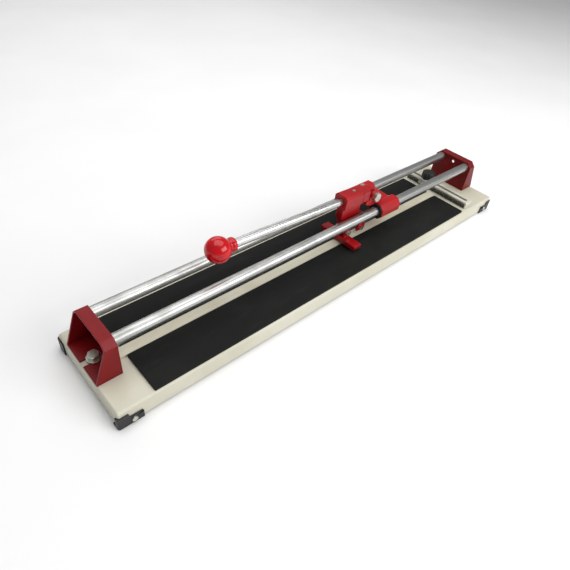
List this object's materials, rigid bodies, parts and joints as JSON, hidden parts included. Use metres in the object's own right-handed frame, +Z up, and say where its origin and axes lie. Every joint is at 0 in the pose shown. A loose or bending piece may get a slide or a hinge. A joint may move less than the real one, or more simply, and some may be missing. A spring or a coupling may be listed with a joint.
{
  "type": "manual rail tile cutter",
  "caption": "Manual rail tile cutter: cream pressed-steel base, black rubber pads, red cast carriage with scoring wheel and breaking foot on twin chromed rails, red ball handle.",
  "frame": {"origin": "on the surface it stands on, under the middle of the base, on the scoring line", "axes": "+X along the rails towards the fence, +Y to the rear, +Z up"},
  "size_m": [0.7716, 0.1512, 0.1343],
  "materials": {
    "cream_paint": "semi-gloss enamel",
    "cream_ridge": "worn enamel",
    "pad_rubber": "matt, fine grain",
    "foot_plastic": "moulded",
    "red_paint": "gloss enamel over a casting",
    "bracket_paint": "gloss enamel over folded sheet",
    "chrome": "polished",
    "zinc": "zinc plated",
    "tool_steel": "ground",
    "fence_metal": "satin",
    "ruler_black": "printed strip",
    "bush_plastic": "moulded",
    "clamp_plastic": "moulded",
    "knob_plastic": "polished moulding"
  },
  "bodies": {
    "frame": {"base_plate": "cream_paint", "breaking_ridge": "cream_ridge", "front_pad": "pad_rubber", "rear_pad": "pad_rubber", "foot_near_front": "foot_plastic", "foot_near_rear": "foot_plastic", "foot_far_front": "foot_plastic", "foot_far_rear": "foot_plastic", "foot_screws": "zinc", "near_bracket": "bracket_paint", "far_bracket": "bracket_paint", "bracket_bolts": "zinc", "bracket_nuts": "zinc", "front_rail": "chrome", "rear_rail": "chrome", "rail_plugs": "zinc", "rail_washers": "zinc", "rail_bolts": "zinc", "fence_bar": "fence_metal", "fence_screws": "zinc", "ruler_strip": "ruler_black"},
    "carriage": {"carriage_body": "red_paint", "bush_front_near": "bush_plastic", "bush_front_far": "bush_plastic", "bush_rear_near": "bush_plastic", "bush_rear_far": "bush_plastic", "pivot_bolt": "zinc", "pivot_nut": "zinc"},
    "lever": {"lever_arm": "red_paint", "handle_tube": "chrome", "handle_knob": "knob_plastic", "knob_insert": "zinc", "socket_screw": "zinc", "foot_hinge_bolt": "zinc", "foot_hinge_nut": "zinc", "wheel_holder": "red_paint", "holder_bolt": "zinc", "wheel_axle": "zinc"},
    "foot": {"breaking_foot": "red_paint"},
    "wheel": {"scoring_wheel": "tool_steel"},
    "stop": {"side_stop": "fence_metal", "stop_tee_nut": "zinc"},
    "stop_clamp": {"stop_knob": "clamp_plastic", "stop_stud": "zinc"}
  },
  "joints": [
    {"name": "carriage_slide", "type": "slide", "parent": "frame", "child": "carriage", "axis": [1, 0, 0], "range_m": [-0.365, 0.205]},
    {"name": "lever_pivot", "type": "hinge", "parent": "carriage", "child": "lever", "pos_m": [0.086, 0, 0.0985], "axis": [0, 1, 0], "range_deg": [0, 12]},
    {"name": "breaking_foot_tilt", "type": "hinge", "parent": "lever", "child": "foot", "pos_m": [0.039, 0, 0.0482], "axis": [0, 1, 0], "range_deg": [-8, 8]},
    {"name": "scoring_wheel_spin", "type": "hinge", "parent": "lever", "child": "wheel", "pos_m": [0.077, 0, 0.0405], "axis": [0, 1, 0], "continuous": true},
    {"name": "side_stop_slide", "type": "slide", "parent": "frame", "child": "stop", "axis": [0, 1, 0], "range_m": [-0.0815, 0.0255]},
    {"name": "stop_knob_turn", "type": "hinge", "parent": "stop", "child": "stop_clamp", "pos_m": [0.309, 0.028, 0.0412], "axis": [0, 0, 1], "range_deg": [0, 360]}
  ]
}
